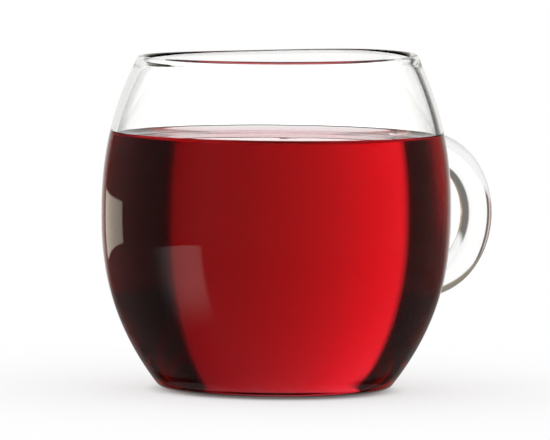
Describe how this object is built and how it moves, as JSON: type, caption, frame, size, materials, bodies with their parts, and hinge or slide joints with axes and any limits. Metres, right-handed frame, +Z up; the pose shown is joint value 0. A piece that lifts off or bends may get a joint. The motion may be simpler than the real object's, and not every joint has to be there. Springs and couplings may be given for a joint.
{
  "type": "glass tea mug",
  "caption": "Round-bellied clear glass mug with a solid glass-rod handle, about three-quarters full of red tea.",
  "frame": {"origin": "centre of the flat foot, on the surface that the mug stands on", "axes": "+Z up the mug's axis, +X towards the handle, XZ is the mirror plane"},
  "size_m": [0.1127, 0.0874, 0.0835],
  "materials": {
    "glass": "clear fire-polished glass",
    "tea": "clear deep red liquid"
  },
  "bodies": {
    "root": {"glass": "glass", "tea": "tea"}
  },
  "joints": []
}
